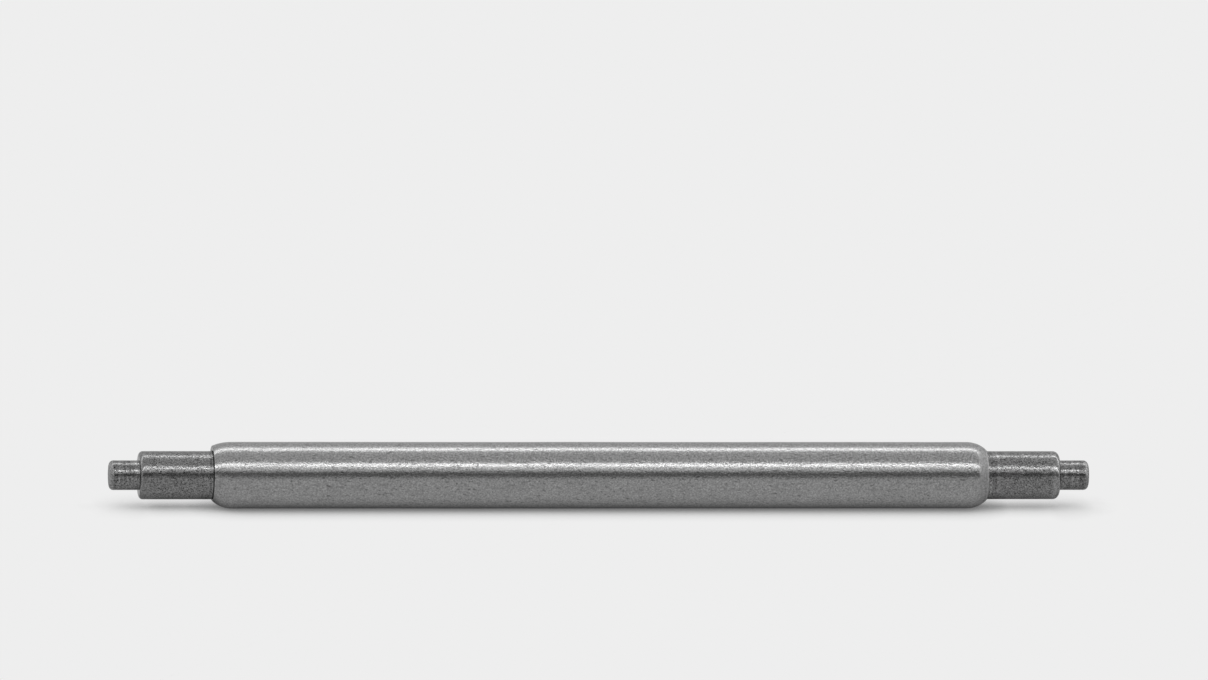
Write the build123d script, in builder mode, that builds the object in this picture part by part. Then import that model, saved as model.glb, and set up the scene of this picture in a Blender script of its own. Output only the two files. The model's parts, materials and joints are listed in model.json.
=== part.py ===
from build123d import *
import os
from math import cos, pi, sin, sqrt

# Watch spring bar, shoulder type, for 24 mm between the lugs.
# A thin steel tube whose ends are rolled in, with a sprung plunger in each end.
# Millimetres. Origin at the bar's centre on its axis, +X along the bar, +Z up.

# Tube
barrel_diameter = 1.80
barrel_length = 21.0
wall = 0.13
curl_length = 0.52          # along the bar, from the straight tube to the end of the rim
lip_depth = 0.10            # how far the rolled lip reaches in from the bore
right_rim = 0.02            # thickness of the rim's edge, outside the lip's bore
left_rim = 0.075            # this end is rolled less, and unevenly
left_lean = 0.055           # the left rim stands this much higher at its top

# Plungers
running_clearance = 0.02    # radial, shaft in lip and head in bore
end_float = 0.02            # between a head and the curl that stops it
shaft_exposed = 1.98
left_shoulder_edge = 0.11
right_shoulder_edge = 0.16   # this shoulder is worn rounder
tip_diameter = 0.80
tip_length = 0.80
tip_edge = 0.12
tip_root = 0.02
head_length = 1.60
head_chamfer = 0.06
pilot_length = 1.40
pilot_clearance = 0.08      # radial, pilot in the coil

# Spring
wire_diameter = 0.20
coil_clearance = 0.07       # radial, coil in the bore
coil_pitch = 0.63           # nominal, and a whole number of half turns is wound
seat_gap = 0.01             # between the wire and the face that it bears on

overrun = 0.5               # cuts run past the faces that they open

# Radii and places that follow
barrel_radius = barrel_diameter / 2
bore_radius = barrel_radius - wall
lip_radius = bore_radius - lip_depth
shaft_radius = lip_radius - running_clearance
head_radius = bore_radius - running_clearance
tip_radius = tip_diameter / 2
barrel_end = barrel_length / 2
curl_start = barrel_end - curl_length
shoulder_face = barrel_end + shaft_exposed
tip_end = shoulder_face + tip_length


def curl_arc(drop):
    """Radius of the arc that leaves the straight tube and drops this much over the curl."""
    return (curl_length**2 + drop**2) / (2 * drop)


right_drop = barrel_radius - lip_radius - right_rim
left_drop = barrel_radius - lip_radius - left_rim
outer_arc = curl_arc(right_drop)
inner_arc = outer_arc - wall
arc_centre = barrel_radius - outer_arc


def inside_curl(radius):
    """How far out along the bar the inside of the curl narrows to this radius."""
    return curl_start + sqrt(inner_arc**2 - (radius - arc_centre) ** 2)


land_start = inside_curl(lip_radius)
head_face = inside_curl(head_radius) - end_float + head_chamfer
head_back = head_face - head_length
pilot_end = head_back - pilot_length


def rings_at(pin, place):
    """The round edges of a turned piece at this place along the bar, smallest first."""
    rings = pin.edges().filter_by(GeomType.CIRCLE)
    return rings.filter_by_position(Axis.X, place, place).sort_by(SortBy.RADIUS)


# Barrel
left_circles = 6


def closing(share):
    """How much of its drop the left curl has made at this share of its length."""
    left_arc = curl_arc(left_drop)
    return (left_arc - sqrt(left_arc**2 - (share * curl_length) ** 2)) / left_drop


with BuildPart() as barrel:
    with BuildSketch(Plane.XZ):
        with BuildLine():
            Polyline(
                (barrel_end, 0),
                (-curl_start, 0),
                (-curl_start, barrel_radius),
                (curl_start, barrel_radius),
            )
            TangentArc((curl_start, barrel_radius), (barrel_end, barrel_radius - right_drop), tangent=(1, 0))
            Line((barrel_end, barrel_radius - right_drop), (barrel_end, 0))
        make_face()
    revolve(axis=Axis.X)
    for step in range(left_circles):
        share = step / (left_circles - 1)
        with BuildSketch(Plane.YZ.offset(-curl_start - share * curl_length)):
            with Locations((0, left_lean * closing(share))):
                Circle(barrel_radius - left_drop * closing(share))
    loft()
    with BuildSketch(Plane.XZ):
        with BuildLine():
            Line((0, bore_radius), (curl_start, bore_radius))
            TangentArc((curl_start, bore_radius), (land_start, lip_radius), tangent=(1, 0))
            Polyline(
                (land_start, lip_radius),
                (barrel_end + overrun, lip_radius),
                (barrel_end + overrun, 0),
                (0, 0),
            )
            mirror(about=Plane.YZ)
        make_face()
    revolve(axis=Axis.X, mode=Mode.SUBTRACT)

# Plungers
coil_radius = bore_radius - coil_clearance - wire_diameter / 2
pilot_radius = coil_radius - wire_diameter / 2 - pilot_clearance

with BuildPart() as plunger:
    with BuildSketch(Plane.XZ):
        with BuildLine():
            Polyline(
                (pilot_end, 0),
                (pilot_end, pilot_radius),
                (head_back, pilot_radius),
                (head_back, head_radius),
                (head_face, head_radius),
                (head_face, shaft_radius),
                (shoulder_face, shaft_radius),
                (shoulder_face, tip_radius),
                (tip_end, tip_radius),
                (tip_end, 0),
                close=True,
            )
        make_face()
    revolve(axis=Axis.X)
    fillet(rings_at(plunger, tip_end)[-1], tip_edge)
    fillet(rings_at(plunger, shoulder_face)[0], tip_root)
    chamfer(rings_at(plunger, head_face)[-1], head_chamfer)

with BuildPart() as right_plunger:
    add(plunger.part)
    fillet(rings_at(right_plunger, shoulder_face)[-1], right_shoulder_edge)

with BuildPart() as left_plunger:
    mirror(plunger.part, about=Plane.YZ)
    fillet(rings_at(left_plunger, -shoulder_face)[-1], left_shoulder_edge)

# Spring: one unbroken round wire with open ends, cut from a long coil
half_turns = int(2 * (2 * head_back - wire_diameter) / coil_pitch)
coil_start = -head_back + seat_gap + wire_diameter / 2
pitch = -2 * coil_start / (half_turns / 2)


def on_coil(turn):
    """The point on the wire's centre line this many turns from its left end."""
    angle = 2 * pi * turn
    return Vector(coil_start + pitch * turn, coil_radius * cos(angle), coil_radius * sin(angle))


def along_coil(turn):
    """The wire's direction there."""
    angle = 2 * pi * turn
    around = 2 * pi * coil_radius
    return Vector(pitch, -around * sin(angle), around * cos(angle)).normalized()


with BuildPart() as spring:
    with BuildLine() as wire_line:
        for half_turn in range(half_turns):
            start = on_coil(half_turn / 2)
            end = on_coil((half_turn + 1) / 2)
            leaving = along_coil(half_turn / 2)
            arriving = along_coil((half_turn + 1) / 2)
            # Two tangent arcs carry the half turn, and they meet in its middle
            span = end - start
            spread = 2 * (1 - leaving.dot(arriving))
            advance = span.dot(leaving + arriving)
            reach = (sqrt(advance**2 + spread * span.dot(span)) - advance) / spread
            middle = (start + end + (leaving - arriving) * reach) / 2
            across = span - (leaving + arriving) * reach
            TangentArc(start, middle, tangent=leaving)
            TangentArc(middle, end, tangent=across)
    centre_line = wire_line.wire()
    with BuildSketch(Plane(origin=centre_line @ 0, z_dir=centre_line % 0)):
        Circle(wire_diameter / 2)
    sweep(path=centre_line)

# What the spring's wire keeps clear of itself, measured on points along its centre line
points_per_turn = 24
turns = half_turns / 2
samples = int(points_per_turn * turns)
wire_points = [centre_line @ (n / samples) for n in range(samples + 1)]
near_gap = min(
    (wire_points[i] - wire_points[j]).length
    for i in range(len(wire_points))
    for j in range(i + points_per_turn // 2, min(i + 2 * points_per_turn, len(wire_points)))
)
print("spring:", turns, "turns, least gap", round(near_gap - wire_diameter, 3), "mm")
print("wire length", round(centre_line.length, 2), "mm")
print("shaft", round(2 * shaft_radius, 3), "in a lip bore of", round(2 * lip_radius, 3), "mm")
print("head", round(2 * head_radius, 3), "in a tube bore of", round(2 * bore_radius, 3), "mm")
print("pilot", round(2 * pilot_radius, 3), "mm")
print("over the shoulders", round(2 * shoulder_face, 3), "over the tips", round(2 * tip_end, 3))

os.makedirs("parts", exist_ok=True)
barrel.part.label = "barrel"
export_step(barrel.part, "parts/barrel.step")
left_plunger.part.label = "left_plunger"
export_step(left_plunger.part, "parts/left_plunger.step")
right_plunger.part.label = "right_plunger"
export_step(right_plunger.part, "parts/right_plunger.step")
spring.part.label = "spring"
export_step(spring.part, "parts/spring.step")
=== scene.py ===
import json
from math import acos, ceil, cos, pi, radians, sin, sqrt, tan

import bmesh
import bpy
import numpy as np
from mathutils import Matrix, Vector, noise

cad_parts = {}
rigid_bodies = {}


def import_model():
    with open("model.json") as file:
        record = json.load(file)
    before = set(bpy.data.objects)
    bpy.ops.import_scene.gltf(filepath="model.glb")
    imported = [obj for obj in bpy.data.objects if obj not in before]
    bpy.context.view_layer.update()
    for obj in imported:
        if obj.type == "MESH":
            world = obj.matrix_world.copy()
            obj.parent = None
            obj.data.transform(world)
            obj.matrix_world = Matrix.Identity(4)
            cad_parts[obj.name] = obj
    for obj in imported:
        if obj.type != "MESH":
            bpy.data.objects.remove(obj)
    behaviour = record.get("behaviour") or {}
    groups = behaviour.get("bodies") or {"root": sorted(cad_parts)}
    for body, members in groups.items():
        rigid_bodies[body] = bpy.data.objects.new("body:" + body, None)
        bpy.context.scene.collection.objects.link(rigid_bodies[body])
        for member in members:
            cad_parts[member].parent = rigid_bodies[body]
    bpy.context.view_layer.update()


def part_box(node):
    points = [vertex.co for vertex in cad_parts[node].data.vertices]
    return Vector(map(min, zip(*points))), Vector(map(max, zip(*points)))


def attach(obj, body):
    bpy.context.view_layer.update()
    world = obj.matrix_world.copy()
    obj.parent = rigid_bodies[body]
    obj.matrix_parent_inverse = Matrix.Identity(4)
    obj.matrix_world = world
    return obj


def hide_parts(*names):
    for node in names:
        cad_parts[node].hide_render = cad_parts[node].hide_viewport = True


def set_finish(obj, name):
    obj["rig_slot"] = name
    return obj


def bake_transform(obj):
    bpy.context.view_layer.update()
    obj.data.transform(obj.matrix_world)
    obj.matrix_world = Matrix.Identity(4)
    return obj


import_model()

# A watch spring bar: a satin steel tube with rolled-in ends, a turned plunger in each end
# and the coil between them. Sizes are in millimetres and become metres in the meshes.
MM = 0.001

# Sizes that the frame gives
barrel_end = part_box("barrel")[1].x / MM
barrel_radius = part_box("barrel")[1].y / MM
tip_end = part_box("right_plunger")[1].x / MM
pilot_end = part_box("right_plunger")[0].x / MM
head_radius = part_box("right_plunger")[1].y / MM
coil_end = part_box("spring")[1].x / MM
coil_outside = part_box("spring")[1].y / MM

# Sizes of the tube's ends
curl_length = 0.52
wall = 0.13
lip_depth = 0.10            # how far the rolled lip reaches in from the bore
lip_radius = barrel_radius - wall - lip_depth
right_rim = 0.02            # thickness of the rim's edge, outside the lip's bore
left_rim = 0.075
left_lean = 0.055           # the left rim stands this much higher at its top
right_rim_edge = 0.004      # rounding of the rims' two corners
left_rim_edge = 0.008

# Sizes of the plungers
running_clearance = 0.02    # radial, shaft in lip
shaft_radius = lip_radius - running_clearance
shaft_exposed = 1.98
left_shoulder_edge = 0.11
right_shoulder_edge = 0.16
tip_radius = 0.40
tip_edge = 0.12
tip_root = 0.02
head_length = 1.60
head_chamfer = 0.06
pilot_length = 1.40
pilot_radius = 0.42
small_edge = 0.03           # rounding of the hidden corners
shoulder_face = barrel_end + shaft_exposed
head_back = pilot_end + pilot_length
head_face = head_back + head_length

# Sizes of the coil
wire_radius = 0.10
coil_turns = 26.5

# How fine the meshes are
ring_segments = 160         # round every turned surface
arc_steps = 7               # in every rounded corner
curl_steps = 18
tube_step = 0.16            # the longest face along the bar
plunger_step = 0.03         # where a plunger shows
hidden_step = 0.2
wire_sides = 14
steps_per_turn = 40
weld_distance = 1e-8        # in metres


def rounded(corners):
    """Points along an outline whose corners (x, radius, rounding) are replaced by arcs."""
    points = []
    for i, (x, r, rounding) in enumerate(corners):
        if rounding == 0:
            points.append((x, r))
            continue
        here = np.array((x, r))
        back = np.array(corners[i - 1][:2]) - here
        on = np.array(corners[(i + 1) % len(corners)][:2]) - here
        back = back / np.linalg.norm(back)
        on = on / np.linalg.norm(on)
        half = acos(np.clip(back @ on, -1, 1)) / 2
        middle = here + (back + on) / np.linalg.norm(back + on) * rounding / sin(half)
        first = here + back * rounding / tan(half) - middle
        last = here + on * rounding / tan(half) - middle
        sweep = pi - 2 * half
        for step in range(arc_steps + 1):
            share = step / arc_steps
            mixed = (first * sin((1 - share) * sweep) + last * sin(share * sweep)) / sin(sweep)
            points.append(tuple(middle + mixed))
    return points


def spaced(points, step, closed=False):
    """The same outline with points added on its long runs."""
    result = []
    ends = points[1:] + points[:1] if closed else points[1:]
    for (x0, r0), (x1, r1) in zip(points, ends):
        parts = max(1, ceil(sqrt((x1 - x0) ** 2 + (r1 - r0) ** 2) / step))
        result += [(x0 + (x1 - x0) * k / parts, r0 + (r1 - r0) * k / parts) for k in range(parts)]
    return result if closed else result + points[-1:]


def clean(piece):
    """Welds doubled points, turns the faces outward and shades them smooth."""
    work = bmesh.new()
    work.from_mesh(piece.data)
    bmesh.ops.remove_doubles(work, verts=work.verts, dist=weld_distance)
    bmesh.ops.recalc_face_normals(work, faces=work.faces)
    work.to_mesh(piece.data)
    work.free()
    piece.data.polygons.foreach_set("use_smooth", [True] * len(piece.data.polygons))


def new_piece(name, points, faces):
    """An object whose mesh has these points, in metres, and faces."""
    mesh = bpy.data.meshes.new(name)
    mesh.from_pydata(points, [], faces)
    mesh.validate()
    mesh.update()
    piece = bpy.data.objects.new(name, mesh)
    bpy.context.scene.collection.objects.link(piece)
    clean(piece)
    return piece


def turned(name, outline, closed=False, lift=None, relief=None):
    """A mesh turned about the X axis from an outline of (x, radius) points in millimetres.
    lift raises a ring's centre, and relief moves each point of the surface in or out."""
    x = np.array([p[0] for p in outline])
    r = np.array([p[1] for p in outline])
    rise = np.array([lift(*p) for p in outline]) if lift else np.zeros(len(outline))
    angle = np.arange(ring_segments) * 2 * pi / ring_segments
    along = np.repeat(x[:, None], ring_segments, 1)
    radius = np.repeat(r[:, None], ring_segments, 1)
    if relief:
        radius = radius + relief(along, radius, np.repeat(angle[None, :], len(x), 0))
    points = np.stack([along, radius * np.cos(angle), radius * np.sin(angle) + rise[:, None]], 2)
    faces = []
    for i in range(len(outline) if closed else len(outline) - 1):
        ring = i * ring_segments
        next_ring = (i + 1) % len(outline) * ring_segments
        for j in range(ring_segments):
            k = (j + 1) % ring_segments
            faces.append((ring + j, ring + k, next_ring + k, next_ring + j))
    return new_piece(name, (points.reshape(-1, 3) * MM).tolist(), faces)


def lumps(x, y, z, scale, seed):
    """Smooth noise from -1 to 1 at points in millimetres, scale bumps to the millimetre."""
    shift = Vector((seed, 2 * seed, 3 * seed))
    flat = np.stack([x, y, z], -1).reshape(-1, 3) * scale
    values = [noise.noise(Vector(p) + shift) for p in flat]
    return np.array(values).reshape(x.shape)


# Barrel
def arc_radius(drop):
    """Radius of the arc that leaves the straight tube and drops this much over the curl."""
    return (curl_length**2 + drop**2) / (2 * drop)


right_drop = barrel_radius - lip_radius - right_rim
left_drop = barrel_radius - lip_radius - left_rim
curl_start = barrel_end - curl_length
inner_arc = arc_radius(right_drop) - wall
inner_centre = barrel_radius - arc_radius(right_drop)

# The drawn tube isn't perfectly round: (depth, stretch along the bar, bumps to the millimetre, seed)
tube_waves = ((0.003, 0.5, 0.9, 3), (0.0014, 1.0, 3.1, 7))


def curl(side, drop):
    """The outside of a rolled end, from the straight tube to near the rim."""
    arc = arc_radius(drop)
    return [
        (side * (curl_start + s), barrel_radius - arc + sqrt(arc**2 - s**2), 0)
        for s in (curl_length * k / curl_steps for k in range(curl_steps + 1))
    ]


def inside_curl(radius):
    """Where the inside of the curl narrows to this radius."""
    return curl_start + sqrt(inner_arc**2 - (radius - inner_centre) ** 2)


def inner_curl(side):
    """The inside of a rolled end, from the bore to the lip's land."""
    land = inside_curl(lip_radius) - curl_start
    return [
        (side * (curl_start + s), inner_centre + sqrt(inner_arc**2 - s**2), 0)
        for s in (land * k / curl_steps for k in range(curl_steps + 1))
    ]


def barrel_outline():
    """The tube's whole section: outside from left to right, then back through the bore."""
    left = curl(-1, left_drop)[::-1]
    right = curl(1, right_drop)
    left[0] = (*left[0][:2], left_rim_edge)
    right[-1] = (*right[-1][:2], right_rim_edge)
    right_mouth = [(barrel_end, lip_radius, right_rim_edge)]
    left_mouth = [(-barrel_end, lip_radius, left_rim_edge)]
    return rounded(left + right + right_mouth + inner_curl(1)[::-1] + inner_curl(-1) + left_mouth)


def barrel_lift(x, r):
    """The left end's rim is rolled in less at its top."""
    if x > -curl_start or r < lip_radius:
        return 0.0
    arc = arc_radius(left_drop)
    depth = min(-x - curl_start, curl_length)
    closing = (arc - sqrt(arc**2 - depth**2)) / left_drop
    outer = barrel_radius - left_drop * closing
    on_land = inside_curl(lip_radius) <= -x
    if not on_land:
        return left_lean * closing * float(r > outer - left_rim_edge)
    return left_lean * closing * np.clip((r - lip_radius) / (outer - lip_radius), 0, 1)


def barrel_relief(x, r, angle):
    """Slow waves in the skin, so that its highlights wander a little."""
    y, z = r * np.cos(angle), r * np.sin(angle)
    return sum(
        depth * (lumps(x * stretch, y, z, scale, seed) - 1)
        for depth, stretch, scale, seed in tube_waves
    )


barrel_points = spaced(barrel_outline(), tube_step, closed=True)
barrel = turned("tube", barrel_points, True, barrel_lift, barrel_relief)
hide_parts("barrel")
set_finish(barrel, "tube_steel")
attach(barrel, "barrel")

# Plungers
seen_in_mouth = 0.2         # what can be seen of it inside the tube, with some to spare
shows_from = barrel_end - seen_in_mouth
skin_depth = 0.0007         # of the lumps in the tumbled skin
skin_lumps = 9.0            # to the millimetre
small_lumps = 19.0
small_lumps_share = 0.5     # of the larger ones' depth
small_lumps_seed = 5        # more than the larger ones'
skin_fades_over = 0.05      # along the bar, from the mouth
flat_radius = 0.3           # the tip's end is flat inside this


def plunger_outline(shoulder_edge):
    """A plunger's half section, from the pilot's end to the tip's end."""
    return rounded([
        (pilot_end, 0, 0),
        (pilot_end, pilot_radius, small_edge),
        (head_back, pilot_radius, small_edge),
        (head_back, head_radius, small_edge),
        (head_face - head_chamfer, head_radius, 0),
        (head_face, head_radius - head_chamfer, 0),
        (head_face, shaft_radius, 0),
        (shoulder_face, shaft_radius, shoulder_edge),
        (shoulder_face, tip_radius, tip_root),
        (tip_end, tip_radius, tip_edge),
        (tip_end, 0, 0),
    ])


def plunger_relief(seed):
    """A slightly lumpy tumbled skin on what shows."""
    def relief(x, r, angle):
        y, z = r * np.cos(angle), r * np.sin(angle)
        shows = np.clip((x - barrel_end) / skin_fades_over, 0, 1) * (r > flat_radius)
        small = small_lumps_share * lumps(x, y, z, small_lumps, seed + small_lumps_seed)
        bumps = lumps(x, y, z, skin_lumps, seed) + small
        return shows * (skin_depth * (bumps - (1 + small_lumps_share)))
    return relief


def plunger(name, side, shoulder_edge, seed):
    """A plunger: the outline is turned at the right end and mirrored for the left one."""
    outline = plunger_outline(shoulder_edge)
    hidden = [p for p in spaced(outline, hidden_step) if p[0] <= shows_from]
    shown = [p for p in spaced(outline, plunger_step) if p[0] > shows_from]
    piece = turned(name, hidden + shown, relief=plunger_relief(seed))
    if side < 0:
        for vertex in piece.data.vertices:
            vertex.co.x = -vertex.co.x
        clean(piece)
    return piece


for node, side, shoulder_edge, seed in (
    ("left_plunger", -1, left_shoulder_edge, 11),
    ("right_plunger", 1, right_shoulder_edge, 23),
):
    pin = plunger(node + "_turned", side, shoulder_edge, seed)
    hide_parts(node)
    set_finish(pin, "pin_steel")
    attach(pin, node)


# Spring
def coil_half(name, side):
    """Half of the coil as one round wire, from the bar's middle to the end by one plunger."""
    mean = coil_outside - wire_radius
    first = coil_end - wire_radius
    pitch = 2 * first / coil_turns
    half_turns = coil_turns / 2
    steps = int(half_turns * steps_per_turn)
    points = []
    for step in range(steps + 1):
        turn = side * half_turns * step / steps
        angle = 2 * pi * (turn + half_turns)
        centre = Vector((pitch * turn, mean * cos(angle), mean * sin(angle)))
        along = Vector((pitch, -2 * pi * mean * sin(angle), 2 * pi * mean * cos(angle))).normalized()
        out = Vector((0, cos(angle), sin(angle)))
        across = along.cross(out)
        for k in range(wire_sides):
            bearing = 2 * pi * k / wire_sides
            spoke = (out * cos(bearing) + across * sin(bearing)) * wire_radius
            points.append(tuple((centre + spoke) * MM))
    faces = []
    for step in range(steps):
        ring = step * wire_sides
        next_ring = ring + wire_sides
        for j in range(wire_sides):
            k = (j + 1) % wire_sides
            faces.append((ring + j, ring + k, next_ring + k, next_ring + j))
    faces.append(tuple(range(wire_sides)))
    faces.append(tuple(steps * wire_sides + k for k in range(wire_sides)))
    piece = new_piece(name, points, faces)
    for face in piece.data.polygons:
        face.use_smooth = len(face.vertices) == 4
    return piece


for name, side, body in (("coil_left", -1, "left_plunger"), ("coil_right", 1, "right_plunger")):
    half = coil_half(name, side)
    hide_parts("spring")
    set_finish(half, "spring_steel")
    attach(half, "spring")
    half.parent = None
    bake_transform(half)


# Materials
class Nodes:
    """A short way to add shader nodes and link them."""

    def __init__(self, tree):
        self.tree = tree
        tree.nodes.clear()

    def add(self, kind, inputs=None, **settings):
        """A shader node of this kind. Each of its inputs is a value or a socket to link."""
        node = self.tree.nodes.new("ShaderNode" + kind)
        for key, value in settings.items():
            setattr(node, key, value)
        for key, value in (inputs or {}).items():
            if isinstance(value, bpy.types.NodeSocket):
                self.tree.links.new(value, node.inputs[key])
            else:
                node.inputs[key].default_value = value
        return node

    def math(self, operation, a, b=0.0, clamp=False):
        return self.add("Math", {0: a, 1: b}, operation=operation, use_clamp=clamp).outputs[0]

    def ramp(self, factor, stops):
        """A grey that follows the factor through stops of (place, level)."""
        node = self.add("ValToRGB", {"Fac": factor})
        elements = node.color_ramp.elements
        while len(elements) < len(stops):
            elements.new(1.0)
        for element, (place, value) in zip(elements, stops):
            element.position = place
            element.color = (value, value, value, 1)
        return node.outputs["Color"]

    def steps_between(self, value, low, high):
        """0 below low, 1 above high and smooth between them, or the other way round."""
        ends = {"Value": value, "From Min": low, "From Max": high}
        return self.add("MapRange", ends, interpolation_type="SMOOTHSTEP").outputs["Result"]

    def mixed(self, mask, plain, marked):
        """One value where the mask is 0 and another where it is 1."""
        return self.math("ADD", self.math("MULTIPLY", mask, marked - plain), plain)


def material(name):
    """A new material and its nodes, none yet."""
    made = bpy.data.materials.new(name)
    made.use_nodes = True
    return made, Nodes(made.node_tree)


# What all steels share
steel_roughness = 0.20      # finer than the grain, which the bump holds
matte_roughness = 0.55
edge_tint = 0.75            # steel doesn't whiten towards its edges as an ideal metal does
noise_low = 0.3             # nearly all of a noise lies between low and high
noise_middle = 0.5
noise_high = 0.7
fine_scale = 2.3            # bumps of the fine grain to one of the coarse grain
patch_size = 3              # grains across a patch
cloud_scale = 1.2           # to the millimetre
cloud_tone = 0.03
pit_edge = 0.05             # how softly the pits' noise turns into pits
scratch_edge = 0.04
scratch_tone = 0.86
scratch_squeeze = 0.5       # with the scale, it makes the scratches long

# Shares of the coarse grain's tone, and of its height in millimetres
fine_tone_share = 1 / 2
patch_tone_share = 1 / 8
fine_height_share = 1 / 6
pit_height_share = 1 / 2
scratch_height_share = 1 / 8
turning_height_share = 1 / 2

# Zones where a finish starts and where it is full, in millimetres before a place along the bar.
# Past the place they are negative.
# Painted shade on the rims' end faces, in the mouths
rim_face_shade_zone = 0.012, 0.004
# Painted highlight along the right rim's edge
rim_highlight_zone = 0.07, 0.03
matte_curl_zone = 0.33, 0.20
# Painted shade on the left shaft where it leaves the tube
mouth_shade_zones = (0.035, 0.010), (-0.10, -0.06)
few_pits_zones = (0.34, 0.20), (-0.02, 0)
tip_face_zone = 0.13, 0.07
tip_marks_zone = 0, -0.1
mouth_marks_zone = -0.55, -0.15
# Painted sheen beside the shoulders, where their rounded edges catch light, stopping at their faces
left_shoulder_sheen_zone = 0.07, 0.04
right_shoulder_sheen_zone = 0.28, 0.20
shoulder_sheen_stop_zone = 0.010, 0.022

# Tones there, against 1 for the plain skin
# Painted shade on the rims' faces
rim_face_shade_tone = 0.6
# Painted highlight on the right rim's edge
rim_highlight_tone = 1.35
# Painted shade in the left mouth
mouth_shade_tone = 0.25
few_pits_tone = 0.8         # the darkest that a pit can be on a burnished place
# Painted light on the tips' matte ends
tip_face_painted_light = 1.45
# Painted sheen on the shoulders' rounded edges
left_shoulder_sheen_tone = 1.15
right_shoulder_sheen_tone = 1.22

# Turning marks
turning_marks = 14.0        # to the millimetre
turning_tone = 1.2          # how much their noise changes the tone
turning_width = 0.05        # the noise hardly changes round the bar


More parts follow.
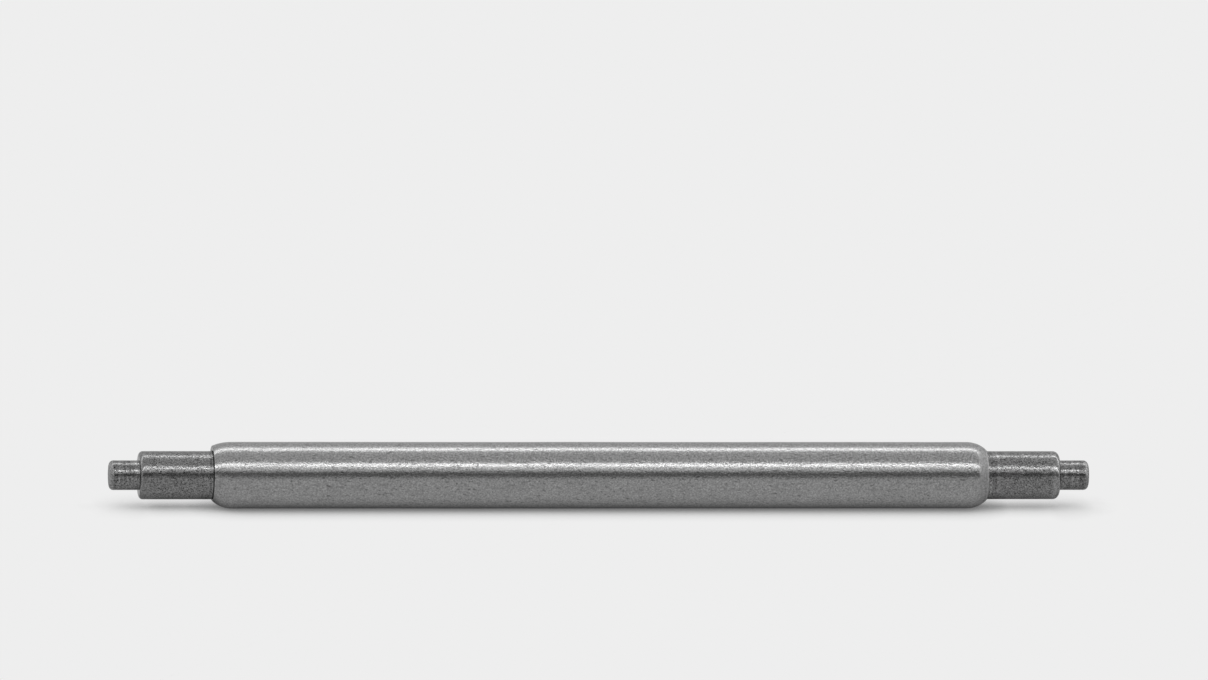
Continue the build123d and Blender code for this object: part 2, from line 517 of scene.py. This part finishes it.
class Skin:
    """One steel as it is built up, from tones that multiply and heights that add."""

    def __init__(self, name):
        self.made, self.n = material(name)
        self.place = self.n.add("TexCoord").outputs["Object"]
        split = self.n.add("SeparateXYZ", {0: self.place})
        self.x = self.n.math("DIVIDE", split.outputs["X"], MM)
        self.along = self.n.math("ABSOLUTE", self.x)
        self.tones = []
        self.heights = []
        self.roughness = steel_roughness

    def noise(self, stretch, scale, detail=0.0, distortion=0.0):
        """Noise on the object's own coordinates in millimetres, stretched along the bar."""
        size = {"Vector": self.place, "Scale": (stretch / MM, 1 / MM, 1 / MM)}
        mapped = self.n.add("Mapping", size).outputs[0]
        settings = {"Vector": mapped, "Scale": scale, "Detail": detail, "Distortion": distortion}
        return self.n.add("TexNoise", settings).outputs["Fac"]

    def near(self, value, place, zone):
        """A mask that goes from 0 to 1 through a zone beside a place along the bar."""
        return self.n.steps_between(value, place - zone[0], place - zone[1])

    def add_tone(self, mask, low, high, start=0.0, end=1.0):
        """Multiplies the colour by low where the mask is at its start, and by high at its end."""
        self.tones.append(self.n.ramp(mask, ((start, low), (end, high))))

    def add_height(self, mask, height):
        """Adds a relief of this height, in millimetres."""
        self.heights.append(self.n.math("MULTIPLY", mask, height * MM))

    def add_grain(self, grain, height, ripple, tone):
        """Grain at two scales and patches, in height and tone, and a slow drift of tone.
        grain is bumps to the millimetre, and ripple is the height of the patches."""
        fine = self.noise(stretch=1.0, scale=grain * fine_scale, detail=1.0)
        coarse = self.noise(stretch=0.9, scale=grain, detail=2.0, distortion=0.3)
        patches = self.noise(stretch=0.6, scale=grain / patch_size, detail=1.0)
        cloud = self.noise(stretch=0.35, scale=cloud_scale, detail=2.0)
        for layer, depth in (
            (fine, tone * fine_tone_share),
            (coarse, tone),
            (patches, tone * patch_tone_share),
            (cloud, cloud_tone),
        ):
            self.add_tone(layer, 1 - depth, 1 + depth, noise_low, noise_high)
        self.add_height(coarse, height)
        self.add_height(fine, height * fine_height_share)
        self.add_height(patches, ripple)

    def add_pits(self, scale, height, tone, stretch, share, few_on=None):
        """Dark pits, scale of them to the millimetre and darker by tone, with few where few_on is 1.
        They lie where their noise is under share."""
        holes = self.noise(stretch, scale, detail=1.0, distortion=0.4)
        pitted = self.n.ramp(holes, ((share - pit_edge, 1 - tone), (share + pit_edge, 1.0)))
        if few_on:
            pitted = self.n.math("MAXIMUM", pitted, self.n.math("MULTIPLY", few_on, few_pits_tone))
        self.tones.append(pitted)
        self.add_height(pitted, height * pit_height_share)

    def add_scratches(self, slant, scale, share, height):
        """Fine dark scratches that run along the bar, askew by slant in degrees.
        They lie where their noise is under share."""
        n = self.n
        split = n.add("SeparateXYZ", {0: self.place})
        round_the_bar = n.math("ARCTAN2", split.outputs["Y"], split.outputs["Z"])
        flat = n.add("CombineXYZ", {"X": self.x, "Y": round_the_bar}).outputs[0]
        askew = n.add("Mapping", {"Vector": flat, "Rotation": (0, 0, radians(slant))}).outputs[0]
        thin = n.add("Mapping", {"Vector": askew, "Scale": (scratch_squeeze / scale, 1, 1)}).outputs[0]
        marks = n.add("TexNoise", {"Vector": thin, "Scale": scale, "Detail": 0.0}).outputs["Fac"]
        plain = n.steps_between(marks, share, share + scratch_edge)
        self.add_tone(plain, scratch_tone, 1.0)
        self.add_height(plain, height * scratch_height_share)

    def add_turning_marks(self, height):
        """Fine rings on the tips, and where the shafts leave the tube."""
        n = self.n
        on_tip = self.near(self.along, shoulder_face, tip_marks_zone)
        by_mouth = self.near(self.along, barrel_end, mouth_marks_zone)
        size = {"Vector": self.place, "Scale": (1 / MM, turning_width / MM, turning_width / MM)}
        flat = n.add("Mapping", size).outputs[0]
        rings = n.add("TexNoise", {"Vector": flat, "Scale": turning_marks, "Detail": 0.0}).outputs["Fac"]
        centred = n.math("SUBTRACT", rings, noise_middle)
        marks = n.math("MULTIPLY", centred, n.math("MAXIMUM", on_tip, by_mouth))
        self.tones.append(n.math("ADD", n.math("MULTIPLY", marks, turning_tone), 1.0))
        self.add_height(marks, height * turning_height_share)

    def finished(self, colour):
        """The material, once all its tones and heights are there."""
        n = self.n
        tone = self.tones[0]
        for more in self.tones[1:]:
            tone = n.math("MULTIPLY", tone, more)
        height = self.heights[0]
        for more in self.heights[1:]:
            height = n.math("ADD", height, more)
        base = n.add("VectorMath", {0: (colour, colour, colour), "Scale": tone}, operation="SCALE")
        bump = n.add("Bump", {"Height": height, "Distance": 1.0, "Strength": 1.0})
        looks = {
            "Base Color": base.outputs[0],
            "Metallic": 1.0,
            "Roughness": self.roughness,
            "Specular Tint": (edge_tint, edge_tint, edge_tint, 1),
            "Normal": bump.outputs[0],
        }
        n.add("OutputMaterial", {"Surface": n.add("BsdfPrincipled", looks).outputs[0]})
        return self.made


def tube_steel():
    """Drawn tube. The rolling tool left its right end matte. The rims' faces are darkened as painted
    shade, and the right rim's edge is lightened as a painted highlight.
    """
    skin = Skin("tube_steel")
    height = 0.0031
    skin.add_grain(grain=24, height=height, ripple=0.0008, tone=0.28)
    skin.add_pits(scale=18, height=height, tone=0.42, stretch=0.4, share=0.32)
    for slant, scale, share in ((4.0, 22, 0.24), (-9.0, 26, 0.22)):
        skin.add_scratches(slant, scale, share, height)
    # Painted shade: the rims' end faces darker, for the shade in the mouths
    skin.add_tone(skin.near(skin.along, barrel_end, rim_face_shade_zone), 1.0, rim_face_shade_tone)
    # Painted highlight: a lighter line along the right rim's edge
    skin.add_tone(skin.near(skin.x, barrel_end, rim_highlight_zone), 1.0, rim_highlight_tone)
    matte = skin.near(skin.x, barrel_end, matte_curl_zone)
    skin.roughness = skin.n.mixed(matte, steel_roughness, matte_roughness)
    return skin.finished(colour=0.254)


def pin_steel():
    """Turned and tumbled pins: fine black pits, fewer of them on burnished places, and matte tip ends.
    Painted sheen lightens the shoulders, painted light the tips' ends, and painted shade darkens the
    left shaft at the mouth.
    """
    skin = Skin("pin_steel")
    n = skin.n
    height = 0.0021
    beside_face, not_past = (skin.near(skin.along, shoulder_face, zone) for zone in few_pits_zones)
    on_shoulder = n.math("MULTIPLY", beside_face, not_past)
    on_tip_face = skin.near(skin.along, tip_end, tip_face_zone)
    burnished = n.math("MAXIMUM", on_shoulder, on_tip_face)
    skin.add_grain(grain=24, height=height, ripple=0.0058, tone=0.46)
    skin.add_pits(scale=31, height=height, tone=0.80, stretch=0.9, share=0.39, few_on=burnished)

    # Painted shade: a dark ring where the left shaft leaves the tube, in the mouth's recess
    outside, inside = (skin.near(skin.x, -barrel_end, zone) for zone in mouth_shade_zones)
    skin.add_tone(n.math("MULTIPLY", outside, inside), 1.0, mouth_shade_tone)
    skin.add_turning_marks(height)

    # Painted sheen: the skin beside the shoulders' faces is lighter, up to the faces, where their
    # rounded edges catch light
    stop = skin.near(skin.along, shoulder_face, shoulder_sheen_stop_zone)
    left_sheen = skin.near(n.math("MULTIPLY", skin.x, -1.0), shoulder_face, left_shoulder_sheen_zone)
    right_sheen = skin.near(skin.x, shoulder_face, right_shoulder_sheen_zone)
    skin.add_tone(n.math("MULTIPLY", left_sheen, stop), 1.0, left_shoulder_sheen_tone)
    skin.add_tone(n.math("MULTIPLY", right_sheen, stop), 1.0, right_shoulder_sheen_tone)
    # Painted light: the tips' matte ends lighter
    skin.add_tone(on_tip_face, 1.0, tip_face_painted_light)
    skin.roughness = n.mixed(on_tip_face, steel_roughness, matte_roughness)
    return skin.finished(colour=0.174)


def spring_steel():
    """Drawn spring wire."""
    skin = Skin("spring_steel")
    height = 0.0020
    skin.add_grain(grain=20, height=height, ripple=0.0020, tone=0.20)
    skin.add_pits(scale=20, height=height, tone=0.2, stretch=0.5, share=0.34)
    return skin.finished(colour=0.30)


steels = {"tube_steel": tube_steel(), "pin_steel": pin_steel(), "spring_steel": spring_steel()}
for piece in bpy.data.objects:
    if piece.type == "MESH" and piece.get("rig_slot"):
        piece.data.materials.clear()
        piece.data.materials.append(steels[piece["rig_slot"]])

# Floor: plain and pale, dark only where the bar shades it
pale = 0.855
floor_size = 1.5
floor_glow = 0.95           # the floor lights the bar a little less than it looks
glow_fade = 0.45            # how fast shade dims the light that the floor gives the bar
shade_samples = 8
shade_reach = 0.72          # how far off a patch of floor is still shaded, in millimetres
tip_shade_reach = 1.1       # the tips stand higher off the floor
tip_shade_zone = 0.3, -0.1  # before the shoulders' faces
shade_lean = radians(45)
left_aside = 0.0
right_aside = radians(-28)  # the light comes a little from the left
shade_tones = (
    (0.0, 0.06), (0.35, 0.20), (0.45, 0.27), (0.55, 0.42), (0.65, 0.60), (0.75, 0.77),
    (0.85, 0.885), (0.95, 0.955), (1.0, 1.0),
)


def open_sky(n, lean, aside, reach):
    """How much of the sky the bar leaves open to a patch of floor that leans along Y and X."""
    leaning = n.add("CombineXYZ", {"X": aside, "Y": sin(lean), "Z": cos(lean)})
    normal = n.add("VectorMath", {0: leaning.outputs[0]}, operation="NORMALIZE").outputs[0]
    settings = {"Distance": reach, "Normal": normal}
    return n.add("AmbientOcclusion", settings, samples=shade_samples).outputs["AO"]


def floor_material():
    """The floor is as dark as the lighter of two patches, which lean to the front and the back."""
    made, n = material("floor_pale")
    x = n.add("SeparateXYZ", {0: n.add("TexCoord").outputs["Object"]}).outputs["X"]
    zone = [(shoulder_face - before) * MM for before in tip_shade_zone]
    by_tip = n.steps_between(n.math("ABSOLUTE", x), *zone)
    reach = n.mixed(by_tip, shade_reach * MM, tip_shade_reach * MM)
    ends = {"Value": x, "From Min": -tip_end * MM, "From Max": tip_end * MM}
    leans = {"To Min": sin(left_aside), "To Max": sin(right_aside)}
    aside = n.add("MapRange", ends | leans).outputs["Result"]
    front = open_sky(n, -shade_lean, aside, reach)
    back = open_sky(n, shade_lean, aside, reach)
    tone = n.ramp(n.math("MAXIMUM", front, back), shade_tones)
    colour = n.add("VectorMath", {0: (pale, pale, pale), 1: tone}, operation="MULTIPLY")
    seen = n.add("LightPath").outputs["Is Camera Ray"]
    glow = n.math("MULTIPLY", n.math("POWER", tone, glow_fade), floor_glow)
    strength = n.math("MAXIMUM", seen, glow)
    shine = n.add("Emission", {"Color": colour.outputs[0], "Strength": strength})
    n.add("OutputMaterial", {"Surface": shine.outputs[0]})
    return made


bpy.ops.mesh.primitive_plane_add(size=floor_size, location=(0, 0, -barrel_radius * MM))
floor = bpy.context.object
floor.name = "floor"
floor.data.materials.append(floor_material())

# Studio light: bands of light along the bar, as (angle round its axis, level).
# 0 is the horizon in front, 90 overhead and 180 the horizon behind.
light_bands = (
    (0, 0.90), (7, 0.82), (12, 0.58), (17, 0.21), (20, 0.17), (29, 0.17), (33, 0.38),
    (36.5, 1.32), (52, 1.26), (54.4, 7.7), (57.4, 7.7), (59, 0.95), (70, 0.82), (90, 0.92),
    (108, 1.0), (115, 1.2), (117, 4.1), (127, 4.1), (129, 1.4), (138, 1.1), (180, 0.9),
)
band_top = 8.0              # the level that a ramp's 1 stands for
bands_end = 0.90, 0.97      # how far sideways the bands fade out
end_level = 1.0             # the light beyond them


def studio_world():
    """Lights the bar with the bands, and shows the camera a plain pale background."""
    world = bpy.data.worlds.new("studio")
    world.use_nodes = True
    bpy.context.scene.world = world
    n = Nodes(world.node_tree)
    toward = n.add("SeparateXYZ", {0: n.add("TexCoord").outputs["Generated"]})
    front = n.math("MULTIPLY", toward.outputs["Y"], -1.0)
    angle = n.math("ARCTAN2", toward.outputs["Z"], front)
    share = n.math("DIVIDE", angle, pi, clamp=True)
    bands = n.ramp(share, [(degrees / 180, level / band_top) for degrees, level in light_bands])
    past_ends = n.steps_between(n.math("ABSOLUTE", toward.outputs["X"]), *bands_end)
    beyond = (end_level / band_top, end_level / band_top, end_level / band_top, 1)
    room = n.add("MixRGB", {0: past_ends, 1: bands, 2: beyond}).outputs[0]
    lit = n.add("Background", {"Color": room, "Strength": band_top})
    plain = n.add("Background", {"Color": (pale, pale, pale, 1), "Strength": 1.0})
    camera_ray = n.add("LightPath").outputs["Is Camera Ray"]
    mixed = n.add("MixShader", {0: camera_ray, 1: lit.outputs[0], 2: plain.outputs[0]})
    n.add("OutputWorld", {"Surface": mixed.outputs[0]})


studio_world()
bpy.context.scene.view_settings.view_transform = "Standard"

# Camera: the bar lies low in the frame, seen from a little to its left and above
frame_width, frame_height = 1208, 680
bar_pixel = (599.8, 475.2)  # where the bar's centre lies
barrel_pixels = 66.85       # across the tube
camera_azimuth = radians(-7.6)
camera_elevation = radians(19.6)
camera_roll = radians(0.046)    # what perspective is left would tilt a bar so low in the frame
lens = 600.0                # from far off, because the photograph shows no perspective
sensor = 36.0
clip_start, clip_end = 0.01, 10


def make_camera():
    """Places the camera so that the bar's centre and size are where the photograph has them."""
    pixel = 2 * barrel_radius * MM / barrel_pixels
    distance = frame_width * pixel * lens / sensor
    a, e = camera_azimuth, camera_elevation
    back = Vector((sin(a) * cos(e), -cos(a) * cos(e), sin(e)))
    along = Vector((1, 0, 0))
    right = (along - back * along.dot(back)).normalized()
    up = back.cross(right)
    data = bpy.data.cameras.new("camera")
    data.lens = lens
    data.sensor_width = sensor
    data.clip_start = clip_start
    data.clip_end = clip_end
    camera = bpy.data.objects.new("camera", data)
    bpy.context.scene.collection.objects.link(camera)
    aside = (frame_width / 2 - bar_pixel[0]) * pixel
    above = (bar_pixel[1] - frame_height / 2) * pixel
    camera.location = back * distance + right * aside + up * above
    upright = Matrix((right, up, back)).transposed()
    camera.rotation_euler = (upright @ Matrix.Rotation(camera_roll, 3, "Z")).to_euler()
    bpy.context.scene.camera = camera


make_camera()
